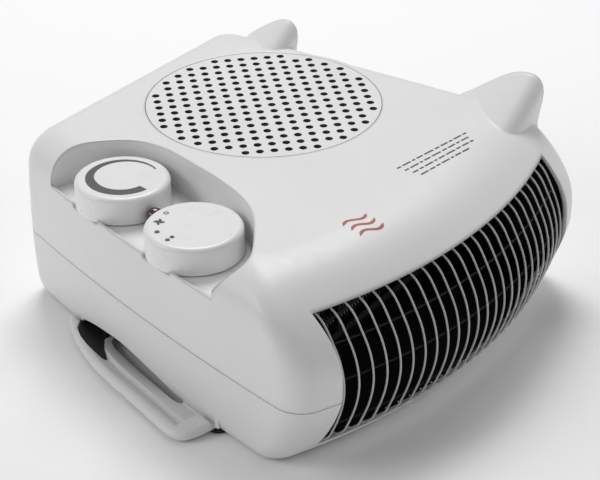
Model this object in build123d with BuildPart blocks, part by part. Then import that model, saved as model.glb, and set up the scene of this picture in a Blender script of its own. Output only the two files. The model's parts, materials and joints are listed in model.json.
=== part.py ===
from build123d import *
import math
import os

os.makedirs("parts", exist_ok=True)

# ---------------------------------------------------------------- driving dimensions (mm)
IX, IY = 44.547, 42.30         # intake / fan axis in the part frame
TOP_Z = 101.0                # flat top of the cover
SEAM_Z = 42.0                # parting line between top cover and lower housing
BASE_Z0, BASE_Z1 = 1.5, 4.5  # base plate, bottom and top
HANDLE_Z1 = 7.0              # top of the carrying bar
SEAM_GAP = 0.4               # open line at the seam
WALL = 2.5                   # moulded wall thickness
GAP = 0.3                    # clearance between neighbouring mouldings

# plan outline, measured from the fan axis
BACK_Y = 87.3
LEFT_BACK_X, LEFT_FRONT_X = -104.5, -169.6     # left chord at y = BACK_Y and y = -150
RIGHT_BACK_X, RIGHT_FRONT_X = 74.6, 83.6       # right chord at the same stations
FRONT_Y = -150.0
LEFT_BOW, RIGHT_BOW = 5.5, 1.2                 # outward sagitta of the side walls
FRONT_CX, FRONT_CY, FRONT_R = -29.9, 134.4, 309.7

# body section against height: z, inset at front, left, right, back
BASE_SECTIONS = [(1.5, 25.0, 5.6, 4.4, 4.4), (3.0, 22.2, 4.0, 3.0, 3.0), (4.5, 20.4, 3.1, 2.2, 2.2)]
LOWER_SECTIONS = [(4.8, 20.1, 3.0, 2.1, 2.1), (10.0, 15.4, 1.5, 1.0, 1.0), (17.0, 10.6, 0.8, 0.5, 0.5),
                  (24.0, 6.9, 0.4, 0.3, 0.3), (32.0, 3.6, 0.15, 0.1, 0.1), (SEAM_Z - SEAM_GAP, 0.7, 0.0, 0.0, 0.0)]
UPPER_SECTIONS = [(42.0, 0.7, 0.0, 0.0, 0.0), (50.0, 0.0, 0.0, 0.0, 0.0), (58.0, 0.3, 0.1, 0.05, 0.05),
                  (66.0, 2.2, 0.3, 0.1, 0.1), (73.0, 5.8, 0.5, 0.2, 0.2), (80.0, 11.0, 0.9, 0.3, 0.3),
                  (85.0, 15.7, 1.5, 0.5, 0.5), (89.0, 20.2, 2.9, 1.0, 1.0), (93.0, 25.8, 5.4, 2.4, 2.4),
                  (96.0, 31.2, 8.6, 4.4, 4.4), (98.5, 37.6, 12.9, 7.0, 7.0), (100.0, 43.8, 17.2, 9.6, 9.6),
                  (101.0, 53.0, 24.0, 13.5, 13.5)]

# intake grille
INTAKE_R = 66.0
HOLE_PITCH = 7.76
HOLE_R = 2.15
HOLE_FIELD_R = 61.6

# knobs
KNOB_R, KNOB_H, KNOB_TOP = 25.4, 14.9, 94.2
K1 = (-103.1, 16.0)          # thermostat knob
K2 = (-121.0, -46.1)         # function knob
FLOOR_Z = 78.6               # top face of the recess floor
RECESS = [(-114.0, 57.2), (-113.2, 57.2), (-92.0, 46.8), (-84.5, 39.4), (-78.6, 31.4),
          (-75.2, 20.7), (-74.9, 8.7), (-78.3, -7.3), (-82.6, -24.6), (-88.4, -42.8), (-94.0, -55.9), (-100.6, -66.3),
          (-109.7, -75.6), (-121.6, -84.4), (-132.0, -91.4), (-140.6, -95.0), (-146.6, -94.4), (-150.7, -91.0),
          (-153.0, -86.8), (-154.2, -83.2)]
LIP_Z = 80.9                  # top of the bead along the open side of the recess floor

# outlet
OPEN_X0, OPEN_X1 = -144.2, 58.6
OPEN_Z0, OPEN_Z1 = 11.5, 86.0
WIRE_N, WIRE_PITCH, WIRE_X0, WIRE_R = 25, 8.082, -141.08, 0.55
WIRE_ARC_R = 291.6           # plan arc of the wires' upper ends
WIRE_PROFILE = [(0.0, 84.3), (9.2, 72.7), (13.6, 63.7), (15.8, 55.8), (16.6, 49.5), (16.4, 42.7),
                (15.1, 35.4), (12.9, 28.2), (9.6, 19.9), (6.9, 15.3), (4.2, 13.2), (1.2, 12.65)]

# fan and motor
FAN_R, FAN_Z0, FAN_Z1 = 52.0, 36.0, 67.5
SHAFT_R = 3.0
MOTOR_R, MOTOR_Z0, MOTOR_Z1 = 26.0, 13.0, 33.0

FEET = [(-88.0, 56.0), (58.0, 56.0), (-148.5, -80.0), (62.0, -112.0)]
POSTS = [(-88.0, 74.0), (60.0, 74.0), (70.0, -90.0), (-136.0, -84.0)]
PILOT = (-112.0, -13.0)       # pilot lamp between the knobs


def P(x, y):
    """Point given from the fan axis, in the part frame."""
    return (x + IX, y + IY)


def circle3(a, b, bow, side):
    """Centre and radius of the arc through chord a-b with the given sagitta; side +1 bows to -X."""
    dx, dy = b[0] - a[0], b[1] - a[1]
    c = math.hypot(dx, dy)
    r = c * c / (8 * bow) + bow / 2
    nx, ny = -dy / c, dx / c
    if nx * side > 0:
        nx, ny = -nx, -ny            # normal towards the bowed side
    mx, my = (a[0] + b[0]) / 2 + nx * bow, (a[1] + b[1]) / 2 + ny * bow
    return (mx - nx * r, my - ny * r, r)


LEFT_C = circle3((LEFT_BACK_X, BACK_Y), (LEFT_FRONT_X, FRONT_Y), LEFT_BOW, +1)
RIGHT_C = circle3((RIGHT_BACK_X, BACK_Y), (RIGHT_FRONT_X, FRONT_Y), RIGHT_BOW, -1)


def left_x(y, inset=0.0):
    return LEFT_C[0] - math.sqrt((LEFT_C[2] - inset) ** 2 - (y - LEFT_C[1]) ** 2)


def right_x(y, inset=0.0):
    return RIGHT_C[0] + math.sqrt((RIGHT_C[2] - inset) ** 2 - (y - RIGHT_C[1]) ** 2)


def front_y(x, inset=0.0):
    return FRONT_CY - math.sqrt((FRONT_R - inset) ** 2 - (x - FRONT_CX) ** 2)


def outline(f, l, r, b, cr=1.0):
    """Closed plan section with the given insets: four bowed sides and four rounded corners."""
    yb = BACK_Y - b
    yl = yr = FRONT_Y
    for _ in range(40):
        yl = front_y(left_x(yl, l), f)
        yr = front_y(right_x(yr, r), f)
    bl, br = (left_x(yb, l), yb), (right_x(yb, r), yb)
    fl, fr = (left_x(yl, l), yl), (right_x(yr, r), yr)
    ml = (left_x((yb + yl) / 2, l), (yb + yl) / 2)
    mr = (right_x((yb + yr) / 2, r), (yb + yr) / 2)
    mf = ((fl[0] + fr[0]) / 2, front_y((fl[0] + fr[0]) / 2, f))
    with BuildSketch(mode=Mode.PRIVATE) as s:
        with BuildLine():
            Line(P(*bl), P(*br))
            ThreePointArc(P(*br), P(*mr), P(*fr))
            ThreePointArc(P(*fr), P(*mf), P(*fl))
            ThreePointArc(P(*fl), P(*ml), P(*bl))
        make_face()
        vs = s.vertices()
        back = vs.sort_by(Axis.Y)[2:]
        front = vs.sort_by(Axis.Y)[:2]
        fillet(back, max(4.0, (13.0 - 0.35 * b) * cr))
    with BuildSketch(mode=Mode.PRIVATE) as s2:
        add(s.sketch)
        vs = s2.vertices().sort_by(Axis.Y)[:2]
        fillet(vs, max(4.0, (17.0 - 0.2 * f) * cr))
    return s2.sketch


def shift(sections, t, dz=0.0):
    return [(z + dz, f + t, l + t, r + t, b + t) for z, f, l, r, b in sections]


def at(sections, z):
    """Section insets interpolated at height z."""
    for a, b in zip(sections, sections[1:]):
        if a[0] <= z <= b[0]:
            k = (z - a[0]) / (b[0] - a[0])
            return tuple(p + (q - p) * k for p, q in zip(a, b))
    return sections[-1]


# ---------------------------------------------------------------- top cover
def recess_points(t):
    """Recess outline moved outwards by t along its local normals."""
    out = []
    for i, (x, y) in enumerate(RECESS):
        x0, y0 = RECESS[max(i - 1, 0)]
        x1, y1 = RECESS[min(i + 1, len(RECESS) - 1)]
        if i in (0, len(RECESS) - 1):
            nx, ny = 0.0, (1.0 if i == 0 else -1.0)
        else:
            dx, dy = x1 - x0, y1 - y0
            c = math.hypot(dx, dy)
            nx, ny = -dy / c, dx / c
        out.append(P(x + nx * t, y + ny * t))
    return out


with BuildPart() as recess_cut:
    with BuildSketch(Plane.XY.offset(LIP_Z)):
        with BuildLine():
            pts = recess_points(0.0)
            Spline(*pts)
            Polyline(pts[-1], P(-190, RECESS[-1][1]), P(-190, RECESS[0][1]), pts[0])
        make_face()
    extrude(amount=40)
    with BuildSketch(Plane.XY.offset(FLOOR_Z)):
        with BuildLine():
            Spline(*pts)
            lip = [P(left_x(y, 2.3), y) for y in (-84.0, -60.0, -35.0, -10.0, 15.0, 40.0, 65.5)]
            Polyline(pts[-1], P(-190, RECESS[-1][1]), P(-190, RECESS[0][1]), pts[0])
        make_face()
        with BuildLine():
            Spline(*lip)
            Polyline(lip[-1], P(-60, 66), P(-60, -100), lip[0])
        make_face(mode=Mode.INTERSECT)
        with Locations(P(*K1), P(*K2)):
            Circle(KNOB_R + 0.8)
    extrude(amount=LIP_Z - FLOOR_Z + 0.5)

with BuildPart() as recess_tub:
    with BuildSketch(Plane.XY.offset(FLOOR_Z - WALL)):
        with BuildLine():
            pts = recess_points(WALL)
            Spline(*pts)
            Polyline(pts[-1], P(-190, RECESS[-1][1] - WALL), P(-190, RECESS[0][1] + WALL), pts[0])
        make_face()
    extrude(amount=60)

with BuildPart() as cover_cavity:
    inner = shift(UPPER_SECTIONS, WALL)
    cut = []
    for z, f, l, r, b in inner:
        zi = z if z < 85 else 85 + (z - 85) * (TOP_Z - WALL - 85) / (TOP_Z - 85)
        with BuildSketch(Plane.XY.offset(zi)):
            add(outline(f, l, r, b, 0.85))
    loft()
    add(recess_tub.part, mode=Mode.SUBTRACT)

with BuildPart() as top_cover:
    for z, f, l, r, b in UPPER_SECTIONS:
        with BuildSketch(Plane.XY.offset(z)):
            add(outline(f, l, r, b))
    loft()
    # stand lobes on the right-hand side: profile sheared inwards and down
    for prof in ([(-68, 84), (-74, 92), (-83, 98.6), (-92, 104.9), (-104, 113.6), (-112, 118), (-120, 120),
                  (-126, 119.2), (-129.4, 115.6), (-130.6, 110), (-130.8, 84)],
                 [(75, 84), (71, 93.5), (64, 100), (56, 105.8), (48, 110.8), (42, 113.2), (37, 113.2),
                  (33.6, 110.6), (32, 105), (31.6, 84)]):
        yc = sum(p[0] for p in prof) / len(prof)
        slope = (right_x(yc + 20) - right_x(yc - 20)) / 40
        side = Plane(origin=P(right_x(yc) - 0.6, yc) + (0,), x_dir=(slope, 1, 0), z_dir=(1, -slope, 0))
        with BuildSketch(side):
            with BuildLine():
                q = [(y - yc, z) for y, z in prof]
                Spline(*q)
                Line(q[-1], q[0])
            make_face()
        extrude(amount=44, dir=(-1, 0, -0.62))
    add(cover_cavity.part, mode=Mode.SUBTRACT)
    add(recess_cut.part, mode=Mode.SUBTRACT)
    # intake opening with a ledge for the grille
    with BuildSketch(Plane.XY.offset(TOP_Z - WALL - 2.2)):
        with Locations(P(0, 0)):
            Circle(INTAKE_R + 5)
    extrude(amount=2.2 + WALL / 2)
    with BuildSketch(Plane.XY.offset(TOP_Z - 2.4)):
        with Locations(P(0, 0)):
            Circle(INTAKE_R)
    extrude(amount=30, mode=Mode.SUBTRACT)
    with BuildSketch(Plane.XY.offset(60)):
        with Locations(P(0, 0)):
            Circle(INTAKE_R - 3.2)
    extrude(amount=45, mode=Mode.SUBTRACT)
    # outlet opening
    with BuildSketch(Plane.XY.offset(OPEN_Z0)):
        with Locations(P((OPEN_X0 + OPEN_X1) / 2, -160)):
            Rectangle(OPEN_X1 - OPEN_X0, 110)
    extrude(amount=OPEN_Z1 - OPEN_Z0, mode=Mode.SUBTRACT)
    # shaft and lamp holes in the recess floor
    with BuildSketch(Plane.XY.offset(70)):
        with Locations(P(*K1), P(*K2)):
            Circle(4.2)
        with Locations(P(*PILOT)):
            Circle(4.7)
    extrude(amount=12, mode=Mode.SUBTRACT)
    # screw posts
    with BuildSketch(Plane.XY.offset(SEAM_Z + 0.2)):
        with Locations(P(*POSTS[3])):
            Circle(4.2)
    extrude(amount=FLOOR_Z - WALL + 0.6 - SEAM_Z - 0.2)
    with BuildSketch(Plane.XY.offset(SEAM_Z + 0.2)):
        with Locations(*[P(*p) for p in POSTS[:3]]):
            Circle(4.2)
    extrude(until=Until.NEXT)
    with BuildSketch(Plane.XY.offset(SEAM_Z - 2)):
        with Locations(*[P(*p) for p in POSTS]):
            Circle(1.8)
    extrude(amount=20, mode=Mode.SUBTRACT)
top_cover.part.label = "top_cover"
export_step(top_cover.part, "parts/top_cover.step")

# ---------------------------------------------------------------- intake grille
with BuildPart() as intake_grille:
    with BuildSketch(Plane.XY.offset(TOP_Z - 2.3)):
        with Locations(P(0, 0)):
            Circle(INTAKE_R - 0.35)
    extrude(amount=2.3)
    holes = []
    for i in range(-12, 13):
        for j in range(-12, 13):
            u, v = (i + 0.5) * HOLE_PITCH, (j + 0.5) * HOLE_PITCH
            a = math.radians(-44.0)
            x, y = u * math.cos(a) - v * math.sin(a), u * math.sin(a) + v * math.cos(a)
            if math.hypot(x, y) < HOLE_FIELD_R:
                holes.append(P(x, y))
    with BuildSketch(Plane.XY.offset(TOP_Z - 3)):
        with Locations(*holes):
            Circle(HOLE_R)
    extrude(amount=4, mode=Mode.SUBTRACT)
intake_grille.part.label = "intake_grille"
export_step(intake_grille.part, "parts/intake_grille.step")
print("holes", len(holes))

# ---------------------------------------------------------------- lower housing
with BuildPart() as lower_cavity:
    for z, f, l, r, b in shift(LOWER_SECTIONS, WALL):
        with BuildSketch(Plane.XY.offset(z)):
            add(outline(f, l, r, b, 0.85))
    loft()

ARCH = [(37.0, -2), (36.8, 4.6), (34.6, 8.0), (30.4, 9.9), (22.0, 12.0), (13.5, 13.2), (0.5, 14.4), (-13.6, 13.5),
        (-33.4, 10.0), (-46.8, 6.0), (-53.0, 1.5), (-55.5, -2)]
with BuildPart() as lower_housing:
    for z, f, l, r, b in LOWER_SECTIONS:
        with BuildSketch(Plane.XY.offset(z)):
            add(outline(f, l, r, b))
    loft()
    add(lower_cavity.part, mode=Mode.SUBTRACT)
    with BuildSketch(Plane.XY.offset(OPEN_Z0)):
        with Locations(P((OPEN_X0 + OPEN_X1) / 2, -160)):
            Rectangle(OPEN_X1 - OPEN_X0, 110)
    extrude(amount=60, mode=Mode.SUBTRACT)
    # arch over the hand slot
    with BuildSketch(Plane.YZ.offset(-200)):
        with BuildLine():
            q = [(y + IY, z) for y, z in ARCH]
            Spline(*q)
            Line(q[-1], q[0])
        make_face()
    extrude(amount=120 + IX, mode=Mode.SUBTRACT)
    # screw posts tied to the walls by ribs
    for (x, y), (wx, wy) in zip(POSTS, [(-88.0, 85.9), (60.0, 85.9), (81.2, -90.0), (-155.0, -84.0)]):
        with BuildSketch(Plane.XY.offset(BASE_Z1 + GAP)):
            with Locations(P(x, y)):
                Circle(4.2)
            with Locations(P((x + wx) / 2, (y + wy) / 2)):
                Rectangle(max(abs(wx - x), 2.4), max(abs(wy - y), 2.4))
        extrude(amount=SEAM_Z - BASE_Z1 - GAP - 0.1 - SEAM_GAP)
    with BuildSketch(Plane.XY.offset(0)):
        with Locations(*[P(*p) for p in POSTS]):
            Circle(2.1)
    extrude(amount=60, mode=Mode.SUBTRACT)
    # cord inlet in the rear wall
    with BuildSketch(Plane.XZ.offset(-(70 + IY))):
        with Locations((-48 + IX, 22)):
            Circle(7.0)
    extrude(amount=-40, mode=Mode.SUBTRACT)
lower_housing.part.label = "lower_housing"
export_step(lower_housing.part, "parts/lower_housing.step")

# ---------------------------------------------------------------- base plate with carrying handle
BAR = [(-119.5, 46.0), (-128.0, 37.6), (-135.0, 28.0), (-141.2, 18.0), (-148.6, 3.0), (-156.2, -17.4), (-164.0, -41.0),
       (-171.2, -62.0), (-172.6, -69.4), (-171.0, -74.6), (-165.5, -78.4), (-158.0, -80.8), (-148.0, -83.0)]
SLOT = [(-118.5, 14.0), (-124.5, 12.0), (-129.5, 5.5), (-139.5, -22.3), (-145.8, -42.0), (-150.3, -56.0), (-128.0, -58.0),
        (-107.0, -8.0), (-99.0, 15.0)]
POCKET = [(-120.5, 38.0), (-128.0, 33.0), (-133.2, 26.0), (-137.2, 18.0), (-139.6, 11.0), (-141.0, 4.0), (-138.0, 3.0),
          (-132.0, 10.0), (-126.5, 14.5), (-118.5, 16.5), (-99.0, 17.5), (-95.0, 44.0), (-112.0, 44.0)]
with BuildPart() as keep_clear:
    with BuildSketch(Plane.XY.offset(BASE_Z1)):
        add(outline(20.0, -0.4, -0.4, -0.4))
    extrude(amount=30)
    with BuildSketch(Plane.XY.offset(0)):
        with Locations(P(-130, (34 - 43) / 2)):
            Rectangle(120, 77)
    extrude(amount=60, mode=Mode.SUBTRACT)

with BuildPart() as bar:
    with BuildSketch(Plane.XY.offset(BASE_Z0)):
        with BuildLine():
            pts = [P(*p) for p in BAR]
            Spline(*pts)
            Polyline(pts[-1], P(-138.0, -80.0), P(-108.0, 40.0), pts[0])
        make_face()
    extrude(amount=HANDLE_Z1 - BASE_Z0)
    fillet(bar.edges().group_by(Axis.Z)[-1].sort_by(SortBy.LENGTH)[-1], 2.6)
    fillet(bar.edges().group_by(Axis.Z)[0].sort_by(SortBy.LENGTH)[-1], 2.4)
    # groove, ridge and inward slope along the bar
    with BuildLine():
        run = Spline(*[P(*p) + (HANDLE_Z1,) for p in [(-131.5, 33.0), (-135.0, 28.0), (-141.2, 18.0), (-148.6, 3.0),
                                                     (-156.2, -17.4), (-164.0, -41.0), (-170.2, -59.5), (-172.0, -66.5)]])
    head = run % 0
    with BuildSketch(Plane(origin=run @ 0, x_dir=(-head.Y, head.X, 0), z_dir=head)):
        with BuildLine():
            Spline((3.4, 0.0), (5.2, -0.7), (7.2, -2.4), (9.2, -4.0), tangents=[(1, -0.1), (1, -0.5)])
            Polyline((9.2, -4.0), (9.8, -3.9), (10.3, -0.5), (11.0, -0.4), (21.0, -3.4), (21.0, 2.0), (3.4, 2.0), (3.4, 0.0))
        make_face()
    sweep(path=run, mode=Mode.SUBTRACT)
    add(keep_clear.part, mode=Mode.SUBTRACT)

with BuildPart() as base_handle:
    for z, f, l, r, b in BASE_SECTIONS:
        with BuildSketch(Plane.XY.offset(z)):
            add(outline(f, l, r, b))
    loft()
    add(bar.part)
    with BuildSketch(Plane.XY.offset(-2)):
        with BuildLine():
            Polyline(*[P(*p) for p in SLOT], close=True)
        make_face()
        fillet(vertices(), 5.0)
    extrude(amount=40, mode=Mode.SUBTRACT)
    # shallow seat for the black floor of the pocket
    with BuildSketch(Plane.XY.offset(2.6)):
        with BuildLine():
            Polyline(*[P(*p) for p in POCKET], close=True)
        make_face()
    extrude(amount=20, mode=Mode.SUBTRACT)
    # screw clearance holes with counterbores, seats for the feet, stands for the air duct
    with BuildSketch(Plane.XY.offset(0)):
        with Locations(*[P(*p) for p in POSTS]):
            Circle(2.0)
    extrude(amount=8, mode=Mode.SUBTRACT)
    with BuildSketch(Plane.XY.offset(0)):
        with Locations(*[P(*p) for p in POSTS]):
            Circle(3.8)
    extrude(amount=3.0, mode=Mode.SUBTRACT)
    with BuildSketch(Plane.XY.offset(0)):
        with Locations(*[P(*p) for p in FEET]):
            Circle(6.2)
    extrude(amount=2.5, mode=Mode.SUBTRACT)
    with BuildSketch(Plane.XY.offset(BASE_Z1 - 0.5)):
        with Locations(P(-40, 40), P(40, 40), P(50, -80), P(-70, -60)):
            Circle(4)
    extrude(amount=3.8)
base_handle.part.label = "base_handle"
export_step(base_handle.part, "parts/base_handle.step")

with BuildPart() as handle_pocket:
    with BuildSketch(Plane.XY.offset(BASE_Z1 + GAP)):
        with BuildLine():
            Polyline(P(left_x(44) + 6.5, 44), P(-92, 44), P(-121, -66), P(left_x(-66) + 6.5, -66), close=True)
        make_face()
    extrude(amount=28)
    with BuildSketch(Plane.XY.offset(0)):
        with BuildLine():
            Polyline(P(left_x(42) - 20, 42), P(-94.6, 42), P(-122.5, -64), P(left_x(-64) - 20, -64), close=True)
        make_face()
    extrude(amount=BASE_Z1 + GAP + 26, mode=Mode.SUBTRACT)
    # floor of the rear part, and the wall between it and the hand slot
    with BuildSketch(Plane.XY.offset(2.7)):
        with BuildLine():
            Polyline(*[P(*p) for p in POCKET], close=True)
        make_face()
        offset(amount=-0.4, kind=Kind.INTERSECTION)
    extrude(amount=1.2)
    with BuildSketch(Plane.XY.offset(2.7)):
        with BuildLine():
            Polyline(P(-96.0, 42.5), P(-112.0, 42.5), P(-112.0, 43.5), P(-96.0, 43.5), close=True)
        make_face()
        with BuildLine():
            Polyline(P(-124.0, 15.8), P(-118.5, 17.3), P(-100.5, 18.2), P(-100.5, 19.6), P(-118.8, 18.8), P(-124.4, 17.2), close=True)
        make_face()
    extrude(amount=29)
handle_pocket.part.label = "handle_pocket"
export_step(handle_pocket.part, "parts/handle_pocket.step")

with BuildPart() as rubber_feet:
    for z0, h, r in ((0.0, 2.4, 6.0),):
        with BuildSketch(Plane.XY.offset(z0)):
            with Locations(*[P(*p) for p in FEET]):
                Circle(r)
        extrude(amount=h)
    fillet(rubber_feet.edges().group_by(Axis.Z)[0], 0.6)
rubber_feet.part.label = "rubber_feet"
export_step(rubber_feet.part, "parts/rubber_feet.step")

with BuildPart() as housing_screws:
    for z0, h, r in ((1.6, 1.3, 3.5), (2.9, 52.0, 1.6)):
        with BuildSketch(Plane.XY.offset(z0)):
            with Locations(*[P(*p) for p in POSTS]):
                Circle(r)
        extrude(amount=h)
    with BuildSketch(Plane.XY.offset(1.6)):
        for a in (0, 90):
            with Locations(*[P(*p) for p in POSTS]):
                Rectangle(3.6, 0.8, rotation=a)
    extrude(amount=0.7, mode=Mode.SUBTRACT)
housing_screws.part.label = "housing_screws"
export_step(housing_screws.part, "parts/housing_screws.step")

# ---------------------------------------------------------------- outlet mouth and wire grille
with BuildPart() as outlet_liner:
    for z, f, l, r, b in shift(LOWER_SECTIONS, WALL + 0.5)[1:] + shift(UPPER_SECTIONS, WALL + 1.8)[1:8]:
        with BuildSketch(Plane.XY.offset(z)):
            add(outline(f, l, r, b, 0.8))
    loft()
    with BuildSketch(Plane.XY.offset(10.0)):
        with Locations(P((OPEN_X0 + OPEN_X1) / 2, -160)):
            Rectangle(OPEN_X1 - OPEN_X0 + 7, 126)
    extrude(amount=79.0, mode=Mode.INTERSECT)
    with BuildSketch(Plane.XY.offset(12.0)):
        with Locations(P((OPEN_X0 + OPEN_X1) / 2, -160)):
            Rectangle(OPEN_X1 - OPEN_X0 + 3, 140)
    extrude(amount=75.0, mode=Mode.SUBTRACT)
outlet_liner.part.label = "outlet_liner"
export_step(outlet_liner.part, "parts/outlet_liner.step")


def wire_y(x, r=WIRE_ARC_R):
    return FRONT_CY - math.sqrt(r * r - (x - FRONT_CX) ** 2)


with BuildPart() as one_wire:
    with BuildLine(Plane.YZ) as path:
        pts = [(-d, z) for d, z in WIRE_PROFILE]
        body = Spline(*pts, tangents=[(-1, -0.55), (1, -0.1)])
        JernArc(body @ 0, tuple(-1 * (body % 0))[1:], radius=2.6, arc_size=52)
    with BuildSketch(Plane(origin=body @ 0, z_dir=body % 0)):
        Circle(WIRE_R)
    sweep(path=path.line)

with BuildPart() as outlet_wires:
    with Locations(*[(WIRE_X0 + i * WIRE_PITCH + IX, wire_y(WIRE_X0 + i * WIRE_PITCH) + IY, 0) for i in range(WIRE_N)]):
        add(one_wire.part)
outlet_wires.part.label = "outlet_wires"
export_step(outlet_wires.part, "parts/outlet_wires.step")
print("wires", len(outlet_wires.part.solids()), outlet_wires.part.volume)

# cross rods welded behind the wires
with BuildPart() as outlet_cross_rods:
    for d, z in ((10.25, 24.6), (15.25, 52.5), (9.3, 70.6)):
        x0, xm, x1 = OPEN_X0 + 1.0, (OPEN_X0 + OPEN_X1) / 2, OPEN_X1 - 1.0
        with BuildLine(Plane.XY.offset(z)) as rod_path:
            ThreePointArc(P(x0, wire_y(x0) - d), P(xm, wire_y(xm) - d), P(x1, wire_y(x1) - d))
        with BuildSketch(Plane(origin=rod_path.line @ 0, z_dir=rod_path.line % 0)):
            Circle(0.55)
        sweep(path=rod_path.line)
outlet_cross_rods.part.label = "outlet_cross_rods"
export_step(outlet_cross_rods.part, "parts/outlet_cross_rods.step")

# ---------------------------------------------------------------- air duct
DUCT = [(-132.0, -96.5), (-86.0, -60.0), (-66.5, -21.0)]


def duct_face(inset):
    """Plan of the scroll: round back about the fan, flaring to the outlet mouth."""
    r = 69.0 - inset
    with BuildSketch(mode=Mode.PRIVATE) as d:
        with BuildLine():
            a = (-66.0 + inset, -math.sqrt(max(r * r - (66.0 - inset) ** 2, 0.01)))
            Line(P(-132.0 + inset * 1.6, -96.5), P(-88.0 + inset, -62.0 + inset * 0.4))
            Line(P(-88.0 + inset, -62.0 + inset * 0.4), P(*a))
            ThreePointArc(P(*a), P(0, r), P(62.0 - inset, -math.sqrt(r * r - (62.0 - inset) ** 2)))
            Line(P(62.0 - inset, -math.sqrt(r * r - (62.0 - inset) ** 2)), P(62.0 - inset, -96.5))
            Line(P(62.0 - inset, -96.5), P(-132.0 + inset * 1.6, -96.5))
        make_face()
    return d.sketch


with BuildPart() as fan_duct:
    with BuildSketch(Plane.XY.offset(8.0)):
        add(duct_face(0))
    extrude(amount=62)
    with BuildSketch(Plane.XY.offset(10.0)):
        add(duct_face(2.0))
        with Locations(P(-35, -97)):
            Rectangle(186, 10)
    extrude(amount=62, mode=Mode.SUBTRACT)
fan_duct.part.label = "fan_duct"
export_step(fan_duct.part, "parts/fan_duct.step")

with BuildPart() as duct_cover:
    with BuildSketch(Plane.XY.offset(70.2)):
        add(duct_face(0))
        with Locations(P(0, 0)):
            Circle(46.0, mode=Mode.SUBTRACT)
    extrude(amount=2.0)
    with BuildSketch(Plane.XY.offset(72.0)):
        with Locations(P(0, 0)):
            Circle(48.0)
            Circle(46.0, mode=Mode.SUBTRACT)
    extrude(amount=5.0)
duct_cover.part.label = "duct_cover"
export_step(duct_cover.part, "parts/duct_cover.step")

# ---------------------------------------------------------------- fan and motor
with BuildPart() as motor_bracket:
    with BuildSketch(Plane.XY.offset(10.2)):
        with Locations(P(0, 0)):
            Circle(30.0)
            with PolarLocations(33.0, 3):
                Circle(6.0)
    extrude(amount=2.6)
    with BuildSketch(Plane.XY.offset(9)):
        with Locations(P(0, 0)):
            with PolarLocations(35.0, 3):
                Circle(1.9)
    extrude(amount=6, mode=Mode.SUBTRACT)
motor_bracket.part.label = "motor_bracket"
export_step(motor_bracket.part, "parts/motor_bracket.step")

with BuildPart() as motor_housing:
    with BuildSketch(Plane.XY.offset(MOTOR_Z0)):
        with Locations(P(0, 0)):
            Circle(MOTOR_R)
    extrude(amount=MOTOR_Z1 - MOTOR_Z0 - 2)
    fillet(motor_housing.edges().group_by(Axis.Z)[-1], 2.5)
    with BuildSketch(Plane.XY.offset(MOTOR_Z1 - 3)):
        with Locations(P(0, 0)):
            Circle(7.0)
    extrude(amount=3)
    with BuildSketch(Plane.XY.offset(MOTOR_Z0 + 3)):
        with Locations(P(0, 0)):
            Circle(SHAFT_R + 0.05)
    extrude(amount=40, mode=Mode.SUBTRACT)
    with BuildSketch(Plane.XY.offset(MOTOR_Z1 - 8)):
        with Locations(P(0, 0)):
            with PolarLocations(17.0, 6):
                SlotOverall(9.0, 3.0, rotation=90)
    extrude(amount=8, mode=Mode.SUBTRACT)
motor_housing.part.label = "motor_housing"
export_step(motor_housing.part, "parts/motor_housing.step")

with BuildPart() as motor_screws:
    for z0, h, r in ((8.4, 4.4, 1.6), (12.9, 1.5, 3.2)):
        with BuildSketch(Plane.XY.offset(z0 + 1.7 if r < 2 else z0)):
            with Locations(P(0, 0)):
                with PolarLocations(35.0, 3):
                    Circle(r)
        extrude(amount=h if r > 2 else 2.8)
motor_screws.part.label = "motor_screws"
export_step(motor_screws.part, "parts/motor_screws.step")

with BuildPart() as motor_shaft:
    with BuildSketch(Plane.XY.offset(MOTOR_Z0 + 4)):
        with Locations(P(0, 0)):
            Circle(SHAFT_R)
    extrude(amount=70.0 - MOTOR_Z0 - 4)
    chamfer(motor_shaft.edges().group_by(Axis.Z)[-1], 0.5)
motor_shaft.part.label = "motor_shaft"
export_step(motor_shaft.part, "parts/motor_shaft.step")

with BuildPart() as fan_impeller:
    with BuildSketch(Plane.XY.offset(FAN_Z0)):
        with Locations(P(0, 0)):
            Circle(FAN_R)
    extrude(amount=1.8)
    with BuildSketch(Plane.XY.offset(FAN_Z0)):
        with Locations(P(0, 0)):
            Circle(8.5)
    extrude(amount=26)
    with BuildSketch(Plane.XY.offset(FAN_Z0 + 1.5)):
        with Locations(P(0, 0)):
            with PolarLocations(45.5, 28):
                Rectangle(11.0, 1.3, rotation=38)
    extrude(amount=FAN_Z1 - FAN_Z0 - 2.5)
    with BuildSketch(Plane.XY.offset(FAN_Z1 - 2.0)):
        with Locations(P(0, 0)):
            Circle(FAN_R)
            Circle(FAN_R - 3.0, mode=Mode.SUBTRACT)
    extrude(amount=2.0)
    with BuildSketch(Plane.XY.offset(FAN_Z0 - 1)):
        with Locations(P(0, 0)):
            Circle(SHAFT_R)
    extrude(amount=40, mode=Mode.SUBTRACT)
fan_impeller.part.label = "fan_impeller"
export_step(fan_impeller.part, "parts/fan_impeller.step")

with BuildPart() as fan_clip:
    with BuildSketch(Plane.XY.offset(FAN_Z0 + 26.05)):
        with Locations(P(0, 0)):
            Circle(5.6)
            Circle(SHAFT_R, mode=Mode.SUBTRACT)
            with PolarLocations(5.6, 3):
                Circle(1.1, mode=Mode.SUBTRACT)
    extrude(amount=1.0)
fan_clip.part.label = "fan_clip"
export_step(fan_clip.part, "parts/fan_clip.step")

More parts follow.
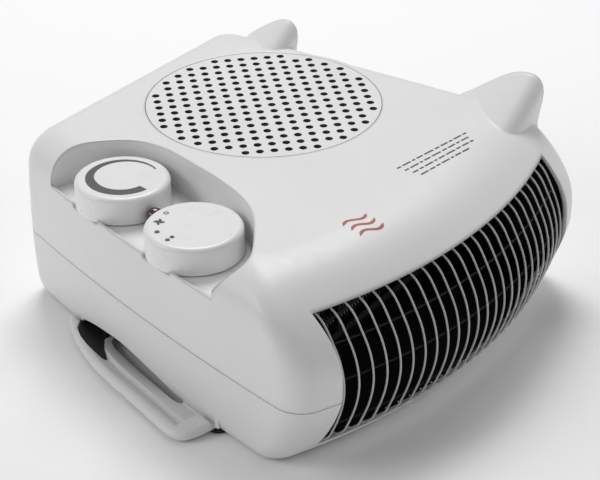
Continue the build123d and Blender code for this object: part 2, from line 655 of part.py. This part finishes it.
# ---------------------------------------------------------------- heater
HX0, HX1, HZ0, HZ1, HY = -101.0, 58.0, 12.0, 68.0, -87.0
COIL_Z = [21.0, 33.5, 46.0, 58.5]
with BuildPart() as heater_frame:
    with BuildSketch(Plane.XZ.offset(-(HY - 6 + IY))):
        with Locations(((HX0 + HX1) / 2 + IX, (HZ0 + HZ1) / 2)):
            Rectangle(HX1 - HX0, HZ1 - HZ0)
        for z in COIL_Z:
            with Locations(((HX0 + HX1) / 2 + IX, z)):
                Rectangle(HX1 - HX0 - 8, 10.0, mode=Mode.SUBTRACT)
    extrude(amount=-1.2)
    with BuildSketch(Plane.XZ.offset(-(HY + 5 + IY))):
        with Locations(((HX0 + HX1) / 2 + IX, (HZ0 + HZ1) / 2)):
            Rectangle(HX1 - HX0, HZ1 - HZ0)
        for z in COIL_Z:
            with Locations(((HX0 + HX1) / 2 + IX, z)):
                Rectangle(HX1 - HX0 - 8, 10.0, mode=Mode.SUBTRACT)
    extrude(amount=-1.2)
    for x in (HX0 + 1.0, -60.0, -21.5, 17.0, HX1 - 1.0):
        with BuildSketch(Plane.YZ.offset(x - 0.6 + IX)):
            with Locations((HY + 0.1 + IY, (HZ0 + HZ1) / 2)):
                Rectangle(12.0, HZ1 - HZ0)
            with Locations(*[(HY + IY, z) for z in COIL_Z]):
                Circle(4.6, mode=Mode.SUBTRACT)
        extrude(amount=1.2)
heater_frame.part.label = "heater_frame"
export_step(heater_frame.part, "parts/heater_frame.step")

with BuildPart() as heater_coils:
    with BuildSketch(Plane.YZ.offset(HX0 + 3.0 + IX)):
        with Locations(*[(HY + IY, z) for z in COIL_Z]):
            Circle(4.3)
    extrude(amount=HX1 - HX0 - 6.0)
heater_coils.part.label = "heater_coils"
export_step(heater_coils.part, "parts/heater_coils.step")

with BuildPart() as thermal_cutout:
    with BuildSketch(Plane.XZ.offset(-(HY + 6.5 + IY))):
        with Locations((-40.0 + IX, 52.0)):
            Circle(8.0)
    extrude(amount=-4.5)
    with BuildSketch(Plane.XZ.offset(-(HY + 6.5 + IY))):
        with Locations((-53.0 + IX, 52.0), (-27.0 + IX, 52.0)):
            Rectangle(10.5, 6.0)
    extrude(amount=-1.0)
thermal_cutout.part.label = "thermal_cutout"
export_step(thermal_cutout.part, "parts/thermal_cutout.step")

with BuildPart() as thermal_fuse:
    with BuildSketch(Plane.YZ.offset(-4.0 + IX)):
        with Locations((HY + 9.0 + IY, 39.5)):
            Circle(2.2)
    extrude(amount=12.0)
    with BuildSketch(Plane.YZ.offset(-16.0 + IX)):
        with Locations((HY + 9.0 + IY, 39.5)):
            Circle(0.6)
    extrude(amount=36.0)
thermal_fuse.part.label = "thermal_fuse"
export_step(thermal_fuse.part, "parts/thermal_fuse.step")

# ---------------------------------------------------------------- controls
SPINDLE_R = 3.0
for name, (cx, cy), w, d, z0 in (("thermostat_body", K1, 34.0, 24.0, 52.0), ("rotary_switch", K2, 28.0, 28.0, 48.0)):
    with BuildPart() as ctl:
        with BuildSketch(Plane.XY.offset(z0)):
            with Locations(P(cx, cy)):
                Rectangle(w, d)
        extrude(amount=FLOOR_Z - WALL - 0.4 - z0)
        fillet(ctl.edges().filter_by(Axis.Z), 2.0)
        with BuildSketch(Plane.XY.offset(z0 - 6)):
            for k in (-8, 0, 8):
                with Locations(P(cx + k, cy)):
                    Rectangle(0.8, 6.3)
        extrude(amount=6.5)
        with BuildSketch(Plane.XY.offset(z0 + 6)):
            with Locations(P(cx, cy)):
                Circle(SPINDLE_R + 0.05)
        extrude(amount=60, mode=Mode.SUBTRACT)
    ctl.part.label = name
    export_step(ctl.part, "parts/" + name + ".step")

for name, (cx, cy), z0 in (("thermostat_spindle", K1, 58.5), ("switch_shaft", K2, 54.5)):
    with BuildPart() as sp:
        with BuildSketch(Plane.XY.offset(z0)):
            with Locations(P(cx, cy)):
                Circle(SPINDLE_R)
        extrude(amount=89.5 - z0)
        with BuildSketch(Plane.XY.offset(80.0)):
            with Locations(P(cx, cy + 4.2)):
                Rectangle(10, 4.0)
        extrude(amount=20, mode=Mode.SUBTRACT)
    sp.part.label = name
    export_step(sp.part, "parts/" + name + ".step")

for name, (cx, cy) in (("thermostat_knob", K1), ("function_knob", K2)):
    with BuildPart() as kn:
        with BuildSketch(Plane.XY.offset(KNOB_TOP - KNOB_H)):
            with Locations(P(cx, cy)):
                Circle(KNOB_R)
        extrude(amount=KNOB_H)
        fillet(kn.edges().group_by(Axis.Z)[-1], 2.6)
        with BuildSketch(Plane.XY.offset(KNOB_TOP - KNOB_H)):
            with Locations(P(cx, cy)):
                Circle(KNOB_R - 2.2)
                Circle(6.5, mode=Mode.SUBTRACT)
        extrude(amount=KNOB_H - 3.0, mode=Mode.SUBTRACT)
        with BuildSketch(Plane.XY.offset(KNOB_TOP - KNOB_H - 1)):
            with Locations(P(cx, cy)):
                Circle(SPINDLE_R + 0.02)
            with Locations(P(cx, cy + 4.23)):
                Rectangle(10, 4.0, mode=Mode.SUBTRACT)
        extrude(amount=89.6 - KNOB_TOP + KNOB_H + 1, mode=Mode.SUBTRACT)
        with BuildSketch(Plane.XY.offset(KNOB_TOP - KNOB_H - 1)):
            with Locations(P(cx, cy)):
                Circle(SPINDLE_R + 0.02)
        extrude(amount=80.05 - KNOB_TOP + KNOB_H + 1, mode=Mode.SUBTRACT)
    kn.part.label = name
    export_step(kn.part, "parts/" + name + ".step")

# printed marks, 0.2 mm proud of the knob faces
MARK_T = 0.2
with BuildPart() as thermostat_mark:
    with BuildSketch(Plane.XY.offset(KNOB_TOP)):
        with BuildLine():
            out, inn = [], []
            n = 36
            for i in range(n + 1):
                t = i / n
                a = math.radians(-26.7 + 287.4 * t)
                w = 0.7 + 4.6 * min(1.0, t / 0.62) ** 1.25
                out.append(P(K1[0] + 19.4 * math.cos(a), K1[1] + 19.4 * math.sin(a)))
                inn.append(P(K1[0] + (19.4 - w) * math.cos(a), K1[1] + (19.4 - w) * math.sin(a)))
            Spline(*out)
            Line(out[-1], inn[-1])
            Spline(*inn[::-1])
            Line(inn[0], out[0])
        make_face()
    extrude(amount=MARK_T)
thermostat_mark.part.label = "thermostat_mark"
export_step(thermostat_mark.part, "parts/thermostat_mark.step")


def on_knob(a, r):
    return P(K2[0] + r * math.cos(math.radians(a)), K2[1] + r * math.sin(math.radians(a)))


with BuildPart() as function_marks:
    with BuildSketch(Plane.XY.offset(KNOB_TOP)):
        with Locations(on_knob(86.1, 18.9)):
            Circle(1.35)
            Circle(0.95, mode=Mode.SUBTRACT)
        with Locations(on_knob(147.4, 19.3)):
            Circle(1.35)
        with Locations(on_knob(176.5, 19.4), on_knob(176.0, 15.9)):
            Circle(1.2)
        with Locations(on_knob(116.0, 17.8)):
            Circle(0.75)
            with PolarLocations(1.7, 4, start_angle=20):
                Ellipse(1.35, 0.72, rotation=35)
    extrude(amount=MARK_T)
function_marks.part.label = "function_marks"
export_step(function_marks.part, "parts/function_marks.step")

with BuildPart() as pilot_lamp:
    with BuildSketch(Plane.XY.offset(68.0)):
        with Locations(P(*PILOT)):
            Circle(4.4)
    extrude(amount=20.8)
    fillet(pilot_lamp.edges().group_by(Axis.Z)[-1], 4.0)
pilot_lamp.part.label = "pilot_lamp"
export_step(pilot_lamp.part, "parts/pilot_lamp.step")

# ---------------------------------------------------------------- mains connection
with BuildPart() as cord_inlet_bush:
    with BuildSketch(Plane.XZ.offset(-(80.0 + IY))):
        with Locations((-48 + IX, 22)):
            Circle(6.8)
    extrude(amount=-8.5)
    with BuildSketch(Plane.XZ.offset(-(BACK_Y + 0.2 + IY))):
        with Locations((-48 + IX, 22)):
            Circle(9.0)
    extrude(amount=-2.5)
    fillet(cord_inlet_bush.edges().group_by(Axis.Y)[-1], 1.0)
    with BuildSketch(Plane.XZ.offset(-(70 + IY))):
        with Locations((-48 + IX, 22)):
            Circle(3.6)
    extrude(amount=-30, mode=Mode.SUBTRACT)
cord_inlet_bush.part.label = "cord_inlet_bush"
export_step(cord_inlet_bush.part, "parts/cord_inlet_bush.step")

with BuildPart() as terminal_block:
    with BuildSketch(Plane.XY.offset(BASE_Z1)):
        with Locations(P(-66, 68)):
            Rectangle(24, 12)
    extrude(amount=11)
    with BuildSketch(Plane.XY.offset(BASE_Z1 + 6)):
        with Locations(P(-74, 68), P(-66, 68), P(-58, 68)):
            Circle(2.2)
    extrude(amount=8, mode=Mode.SUBTRACT)
terminal_block.part.label = "terminal_block"
export_step(terminal_block.part, "parts/terminal_block.step")
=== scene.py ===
import bpy
import bmesh
import json
import math
import random
from mathutils import Vector, Matrix
from mathutils.bvhtree import BVHTree


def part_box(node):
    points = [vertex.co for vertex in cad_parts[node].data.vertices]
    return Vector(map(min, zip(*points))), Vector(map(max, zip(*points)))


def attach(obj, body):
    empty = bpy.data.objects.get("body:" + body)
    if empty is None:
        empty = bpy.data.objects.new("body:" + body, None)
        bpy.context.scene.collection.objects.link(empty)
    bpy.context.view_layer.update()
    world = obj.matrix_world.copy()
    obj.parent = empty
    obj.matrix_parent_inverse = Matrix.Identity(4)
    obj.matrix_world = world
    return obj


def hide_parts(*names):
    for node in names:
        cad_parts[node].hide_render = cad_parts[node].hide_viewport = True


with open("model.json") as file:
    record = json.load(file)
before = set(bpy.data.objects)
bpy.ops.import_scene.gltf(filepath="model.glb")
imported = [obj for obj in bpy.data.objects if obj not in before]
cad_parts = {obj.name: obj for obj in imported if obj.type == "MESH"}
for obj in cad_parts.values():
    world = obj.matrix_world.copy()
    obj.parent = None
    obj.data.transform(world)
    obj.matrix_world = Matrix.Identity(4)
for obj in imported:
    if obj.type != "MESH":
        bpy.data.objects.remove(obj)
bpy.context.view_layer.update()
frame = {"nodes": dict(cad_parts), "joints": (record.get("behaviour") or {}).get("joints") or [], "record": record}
NODES = frame["nodes"]
scene = bpy.context.scene

# plan position of the intake axis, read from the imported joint
IX, IY = 0.0, 0.0
for j in frame["joints"]:
    if j["name"] == "fan_spin":
        IX, IY = j["pos_m"][0], j["pos_m"][1]


def W(x, y, z=0.0):
    """Point given in millimetres from the intake axis, in the part frame in metres."""
    return Vector((x / 1000 + IX, y / 1000 + IY, z / 1000))


# ---------------------------------------------------------------- camera
cam_data = bpy.data.cameras.new("main_camera")
cam = bpy.data.objects.new("main_camera", cam_data)
scene.collection.objects.link(cam)
F = Vector((0.69986, 0.50622, -0.50392)).normalized()
R = Vector((0.58331, -0.81223, -0.00581)).normalized()
U = R.cross(F).normalized()
R = F.cross(U).normalized()
rot = Matrix((R, U, -F)).transposed().to_4x4()
cam.matrix_world = Matrix.Translation(W(-753.314, -569.162, 562.665)) @ rot
cam_data.sensor_width = 36.0
cam_data.sensor_fit = "HORIZONTAL"
cam_data.lens = 112.90
cam_data.clip_start = 0.01
cam_data.clip_end = 50.0
scene.camera = cam


# ---------------------------------------------------------------- materials
def nodes_of(name):
    m = bpy.data.materials.new(name)
    m.use_nodes = True
    nt = m.node_tree
    nt.nodes.clear()
    out = nt.nodes.new("ShaderNodeOutputMaterial")
    b = nt.nodes.new("ShaderNodeBsdfPrincipled")
    nt.links.new(b.outputs[0], out.inputs[0])
    tc = nt.nodes.new("ShaderNodeTexCoord")
    return m, nt, b, tc


def noise(nt, tc, scale, detail=3.0, rough=0.55, stretch=None, distortion=0.0):
    n = nt.nodes.new("ShaderNodeTexNoise")
    n.inputs["Scale"].default_value = scale
    n.inputs["Detail"].default_value = detail
    n.inputs["Roughness"].default_value = rough
    n.inputs["Distortion"].default_value = distortion
    if stretch:
        mp = nt.nodes.new("ShaderNodeMapping")
        mp.inputs["Scale"].default_value = stretch
        nt.links.new(tc.outputs["Object"], mp.inputs["Vector"])
        nt.links.new(mp.outputs["Vector"], n.inputs["Vector"])
    else:
        nt.links.new(tc.outputs["Object"], n.inputs["Vector"])
    return n.outputs[0]


def ramp(nt, fac, stops):
    r = nt.nodes.new("ShaderNodeValToRGB")
    e = r.color_ramp.elements
    while len(e) > 1:
        e.remove(e[-1])
    e[0].position, e[0].color = stops[0][0], (*stops[0][1], 1)
    for p, c in stops[1:]:
        k = e.new(p)
        k.color = (*c, 1)
    nt.links.new(fac, r.inputs[0])
    return r.outputs[0]


def remap(nt, fac, a, b, lo, hi):
    r = nt.nodes.new("ShaderNodeMapRange")
    r.inputs["From Min"].default_value = a
    r.inputs["From Max"].default_value = b
    r.inputs["To Min"].default_value = lo
    r.inputs["To Max"].default_value = hi
    nt.links.new(fac, r.inputs["Value"])
    return r.outputs["Result"]


def mix(nt, fac, a, b):
    """a and b are sockets or colours; fac is a socket or a number."""
    m = nt.nodes.new("ShaderNodeMix")
    m.data_type = "RGBA"
    for sock, v in ((m.inputs[6], a), (m.inputs[7], b)):
        if isinstance(v, tuple):
            sock.default_value = (*v, 1)
        else:
            nt.links.new(v, sock)
    if isinstance(fac, float):
        m.inputs[0].default_value = fac
    else:
        nt.links.new(fac, m.inputs[0])
    return m.outputs[2]


def bump(nt, b, layers):
    """layers: (height socket, strength, distance in metres), finest last."""
    prev = None
    for h, s, d in layers:
        k = nt.nodes.new("ShaderNodeBump")
        k.inputs["Strength"].default_value = s
        k.inputs["Distance"].default_value = d
        nt.links.new(h, k.inputs["Height"])
        if prev:
            nt.links.new(prev, k.inputs["Normal"])
        prev = k.outputs[0]
    nt.links.new(prev, b.inputs["Normal"])


def edge_mask(nt, radius, lo=0.9, hi=0.999):
    """1 on sharp edges, 0 on open faces."""
    bv = nt.nodes.new("ShaderNodeBevel")
    bv.samples = 4
    bv.inputs["Radius"].default_value = radius
    g = nt.nodes.new("ShaderNodeNewGeometry")
    d = nt.nodes.new("ShaderNodeVectorMath")
    d.operation = "DOT_PRODUCT"
    nt.links.new(bv.outputs[0], d.inputs[0])
    nt.links.new(g.outputs["Normal"], d.inputs[1])
    return remap(nt, d.outputs["Value"], lo, hi, 1.0, 0.0)


def moulded(name, col, rough=0.42, grain=2600.0, grain_h=0.00003, tint=0.03, spec=0.5, edge=None, coat=0.0, mid_h=0.05):
    m, nt, b, tc = nodes_of(name)
    big = noise(nt, tc, 14.0, 3.0, 0.5)
    mid = noise(nt, tc, 130.0, 4.0, 0.6)
    fine = noise(nt, tc, grain, 2.0, 0.6)
    lo = tuple(c * (1 - tint) for c in col)
    hi = tuple(min(1.0, c * (1 + tint * 0.6)) for c in col)
    base = ramp(nt, big, [(0.3, lo), (0.5, col), (0.72, hi)])
    speck = ramp(nt, fine, [(0.34, tuple(c * 0.955 for c in col)), (0.62, hi)])
    c = mix(nt, 0.28, base, speck)
    # edge = (bevel radius, strength, colour): sharp edges are lightened in noisy patches, a painted highlight along the
    # edges
    if edge:
        painted_edge_highlight = nt.nodes.new("ShaderNodeMath")
        painted_edge_highlight.operation = "MULTIPLY"
        nt.links.new(edge_mask(nt, edge[0]), painted_edge_highlight.inputs[0])
        nt.links.new(remap(nt, mid, 0.42, 0.66, 0.0, edge[1]), painted_edge_highlight.inputs[1])
        c = mix(nt, painted_edge_highlight.outputs[0], c, edge[2])
    nt.links.new(c, b.inputs["Base Color"])
    nt.links.new(remap(nt, mid, 0.3, 0.7, rough - 0.05, rough + 0.06), b.inputs["Roughness"])
    b.inputs["Specular IOR Level"].default_value = spec
    if coat:
        b.inputs["Coat Weight"].default_value = coat
        b.inputs["Coat Roughness"].default_value = 0.18
    bump(nt, b, [(mid, mid_h, 0.0001), (fine, 0.45, grain_h)])
    return m


def metal(name, col, rough=0.3, streak=(6.0, 300.0, 300.0), tint=0.12, dirt=0.15):
    m, nt, b, tc = nodes_of(name)
    s = noise(nt, tc, 9.0, 4.0, 0.6, stretch=streak)
    big = noise(nt, tc, 40.0, 3.0, 0.55)
    c = ramp(nt, s, [(0.3, tuple(x * (1 - tint) for x in col)), (0.7, tuple(min(1, x * (1 + tint)) for x in col))])
    c = mix(nt, remap(nt, big, 0.5, 0.75, 0.0, dirt), c, tuple(x * 0.45 for x in col))
    nt.links.new(c, b.inputs["Base Color"])
    b.inputs["Metallic"].default_value = 1.0
    nt.links.new(remap(nt, s, 0.3, 0.7, rough - 0.06, rough + 0.1), b.inputs["Roughness"])
    bump(nt, b, [(s, 0.12, 0.00005)])
    return m


MAT = {
    # the lighter edge colours of the two housings are painted highlights on their sharp edges
    "housing": moulded("housing_plastic", (0.80, 0.80, 0.80), 0.40, edge=(0.0006, 0.5, (0.93, 0.93, 0.93))),
    "housing_lower": moulded("housing_lower_plastic", (0.78, 0.78, 0.78), 0.42, edge=(0.0006, 0.5, (0.90, 0.90, 0.90))),
    # near-black liner: a dark sheet put in the handle pocket to stand for the shade that falls there
    "liner_black": moulded("liner_plastic_painted_shade", (0.012, 0.011, 0.011), 0.55, tint=0.25),
    "rubber_black": moulded("foot_rubber", (0.022, 0.021, 0.021), 0.75, grain=1500.0, grain_h=0.00006, tint=0.25, spec=0.3),
    "outlet_black": moulded("outlet_paint", (0.010, 0.008, 0.008), 0.6, grain=3500.0, tint=0.25, spec=0.2),
    "duct_black": moulded("duct_plastic", (0.014, 0.013, 0.013), 0.6, tint=0.2, spec=0.3),
    "fan_black": moulded("fan_plastic", (0.020, 0.019, 0.019), 0.4, tint=0.2),
    "mica": moulded("mica_board", (0.030, 0.026, 0.022), 0.7, grain=900.0, tint=0.35, spec=0.3),
    "phenolic": moulded("phenolic_moulding", (0.035, 0.024, 0.020), 0.35, tint=0.3),
    "knob_white": moulded("knob_plastic", (0.86, 0.86, 0.86), 0.30, grain=5200.0, grain_h=0.000012, tint=0.015,
                          coat=0.1, mid_h=0.008),
    "print_grey": moulded("print_ink", (0.075, 0.075, 0.078), 0.55, grain=6000.0, grain_h=0.00001, tint=0.12),
    "lamp_lens": moulded("lamp_plastic", (0.045, 0.022, 0.020), 0.14, grain=6000.0, grain_h=0.000006, tint=0.2, coat=0.6),
    "nylon_white": moulded("nylon", (0.72, 0.70, 0.65), 0.45),
    "wire_grey": moulded("wire_coating", (0.56, 0.55, 0.55), 0.32, grain=4200.0, grain_h=0.00001, tint=0.06),
    "steel": metal("zinc_steel", (0.55, 0.55, 0.57), 0.34),
    "brass": metal("turned_brass", (0.70, 0.55, 0.28), 0.28, streak=(200.0, 200.0, 8.0)),
    "nichrome": metal("resistance_wire", (0.30, 0.26, 0.24), 0.45, tint=0.3, dirt=0.5),
}


def soften(mat, radius):
    """Shade the edges as if they were rounded."""
    nt = mat.node_tree
    bv = nt.nodes.new("ShaderNodeBevel")
    bv.samples = 8
    bv.inputs["Radius"].default_value = radius
    for n in nt.nodes:
        if n.type == "BUMP" and not n.inputs["Normal"].is_linked:
            nt.links.new(bv.outputs[0], n.inputs["Normal"])


soften(MAT["housing"], 0.0026)
soften(MAT["knob_white"], 0.0008)
SLOT = {s["node"]: s["material_slot"] for s in frame["record"]["subparts"]}
# the walls of the disc's holes are painted darker than its face, a painted shade so that the holes read as dark
grille_mat = moulded("grille_plastic", (0.80, 0.80, 0.80), 0.42, mid_h=0.03)
gnt = grille_mat.node_tree
gb = next(n for n in gnt.nodes if n.type == "BSDF_PRINCIPLED")
gsrc = gb.inputs["Base Color"].links[0].from_socket
gg = gnt.nodes.new("ShaderNodeNewGeometry")
gx = gnt.nodes.new("ShaderNodeSeparateXYZ")
gnt.links.new(gg.outputs["Normal"], gx.inputs[0])
gnt.links.new(mix(gnt, remap(gnt, gx.outputs["Z"], 0.35, 0.75, 1.0, 0.0), gsrc, (0.10, 0.10, 0.10)), gb.inputs["Base Color"])
for name, ob in NODES.items():
    ms = ob.data.materials
    mat = grille_mat if name == "intake_grille" else MAT[SLOT[name]]
    if len(ms) == 0:
        ms.append(mat)
    for i in range(len(ms)):
        ms[i] = mat


def new_mesh(name, verts, faces, slot, body, smooth=True):
    me = bpy.data.meshes.new(name)
    me.from_pydata([tuple(v) for v in verts], [], faces)
    me.update()
    if smooth:
        me.polygons.foreach_set("use_smooth", [True] * len(me.polygons))
    ob = bpy.data.objects.new(name, me)
    scene.collection.objects.link(ob)
    me.materials.append(MAT[slot])
    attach(ob, body)
    return ob


# ---------------------------------------------------------------- heating coils: wound wire in place of the plain rods
lo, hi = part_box("heater_coils")
cr = 0.0040
cy = (lo[1] + hi[1]) / 2
z_low, z_high = lo[2] + 0.0043, hi[2] - 0.0043
verts, faces = [], []
for k in range(4):
    cz = z_low + (z_high - z_low) * k / 3
    turns = 58
    steps = turns * 14
    x0, x1 = lo[0] + 0.001, hi[0] - 0.001
    wr = 0.0004
    base = len(verts)
    for i in range(steps + 1):
        t = i / steps
        a = 2 * math.pi * turns * t + k * 1.3
        rr = cr - wr
        c = Vector((x0 + (x1 - x0) * t, cy + rr * math.cos(a), cz + rr * math.sin(a)))
        rad = Vector((0, math.cos(a), math.sin(a)))
        ax = Vector((1, 0, 0))
        for q in range(6):
            b = 2 * math.pi * q / 6
            verts.append(c + rad * (wr * math.cos(b)) + ax * (wr * math.sin(b)))
        if i:
            for q in range(6):
                p0, p1 = base + (i - 1) * 6 + q, base + (i - 1) * 6 + (q + 1) % 6
                faces.append((p0, p1, p1 + 6, p0 + 6))
    faces.append(tuple(base + q for q in range(6))[::-1])
    faces.append(tuple(base + steps * 6 + q for q in range(6)))
coils = new_mesh("wound_heater_coils", verts, faces, "nichrome", "housing")
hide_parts("heater_coils")

# ---------------------------------------------------------------- printed marks on the top: a plain heat sign and rows of bars
MAT["print_red"] = moulded("red_ink", (0.42, 0.10, 0.085), 0.5, grain=6000.0, grain_h=0.00001, tint=0.1)
cover = NODES["top_cover"]
bvh = BVHTree.FromObject(cover, bpy.context.evaluated_depsgraph_get())
inv = cover.matrix_world.inverted()


def on_cover(x, y, lift):
    """Point on the cover's top above a plan point, in world space."""
    o = inv @ W(x, y, 160.0)
    d = (inv.to_3x3() @ Vector((0, 0, -1))).normalized()
    hit, n, i, dist = bvh.ray_cast(o, d)
    w = cover.matrix_world @ hit
    nn = (cover.matrix_world.to_3x3() @ n).normalized()
    if nn.z < 0:
        nn = -nn
    return w + nn * lift


def ribbon(verts, faces, line, half):
    """Thin raised strip that follows the cover along a plan line."""
    base = len(verts)
    n = len(line)
    for i, (x, y) in enumerate(line):
        x0, y0 = line[max(i - 1, 0)]
        x1, y1 = line[min(i + 1, n - 1)]
        l = math.hypot(x1 - x0, y1 - y0)
        nx, ny = -(y1 - y0) / l, (x1 - x0) / l
        h = half(i / (n - 1))
        for s2, lift in ((1, -0.00002), (1, 0.00004), (-1, 0.00004), (-1, -0.00002)):
            verts.append(on_cover(x + nx * h * s2, y + ny * h * s2, lift))
        if i:
            a, b = base + 4 * (i - 1), base + 4 * i
            for q in range(4):
                r = (q + 1) % 4
                faces.append((a + q, a + r, b + r, b + q))
    faces.append((base + 3, base + 2, base + 1, base))
    e = base + 4 * (n - 1)
    faces.append((e, e + 1, e + 2, e + 3))


verts, faces = [], []
for k in (-1, 0, 1):
    line = []
    for i in range(41):
        t = i / 40
        u = -8.5 + 17.0 * t
        v = 5.6 * k + 1.9 * math.sin(2 * math.pi * t)
        line.append((-81.0 + 0.99 * u + 0.12 * v, -121.5 - 0.12 * u + 0.99 * v))
    ribbon(verts, faces, line, lambda t: 0.95 * min(1.0, 0.25 + 6 * t, 0.25 + 6 * (1 - t)))
heat = new_mesh("printed_heat_sign", verts, faces, "print_red", "housing", smooth=False)
verts, faces = [], []
rnd = [3.1, 6.4, 2.2, 4.9, 7.2, 3.6, 5.5, 2.7, 6.1, 4.2]
q = 0
for row in range(4):
    t = row / 3
    a = (-23.2 + 1.6 * t, -103.7 - 13.8 * t)
    b = (32.6 + 1.4 * t, -111.7 - 12.3 * t)
    L = math.hypot(b[0] - a[0], b[1] - a[1])
    ux, uy = (b[0] - a[0]) / L, (b[1] - a[1]) / L
    u = 0.0
    end = L * (1.0, 0.96, 0.9, 0.72)[row]
    while u < end - 2:
        w = min(rnd[q % 10], end - u)
        q += 1
        line = [(a[0] + ux * (u + w * i / 6), a[1] + uy * (u + w * i / 6)) for i in range(7)]
        ribbon(verts, faces, line, lambda t: 0.62)
        u += w + 1.3
bars = new_mesh("printed_bar_rows", verts, faces, "print_grey", "housing", smooth=False)

# ---------------------------------------------------------------- floor and light
me = bpy.data.meshes.new("studio_floor")
me.from_pydata([(-6, -6, 0), (6, -6, 0), (6, 6, 0), (-6, 6, 0)], [], [(0, 1, 2, 3)])
floor = bpy.data.objects.new("studio_floor", me)
scene.collection.objects.link(floor)
fm, fnt, fb, ftc = nodes_of("floor_paint")
fb.inputs["Base Color"].default_value = (0.985, 0.985, 0.985, 1)
fb.inputs["Roughness"].default_value = 0.75
fb.inputs["Specular IOR Level"].default_value = 0.15
me.materials.append(fm)

world = bpy.data.worlds.new("studio")
scene.world = world
world.use_nodes = True
world.node_tree.nodes["Background"].inputs[0].default_value = (1.0, 1.0, 1.0, 1)
world.node_tree.nodes["Background"].inputs[1].default_value = 0.31


def area(name, loc, target, size, power, color=(1, 1, 1)):
    d = bpy.data.lights.new(name, "AREA")
    d.shape = "RECTANGLE"
    d.size, d.size_y = size
    d.energy = power
    d.color = color
    o = bpy.data.objects.new(name, d)
    o.location = loc
    o.rotation_euler = (Vector(target) - Vector(loc)).to_track_quat("-Z", "Y").to_euler()
    scene.collection.objects.link(o)
    return o


area("key", (0.75, 0.55, 1.55), (0, 0, 0.05), (0.8, 0.8), 17.0)
area("rear_left", (-1.35, 1.05, 1.0), (0, 0, 0.05), (0.9, 0.8), 8.5)
area("front_right", (1.25, -1.25, 0.75), (0, 0, 0.05), (0.9, 0.7), 4.0)

scene.view_settings.view_transform = "Standard"
scene.view_settings.look = "None"
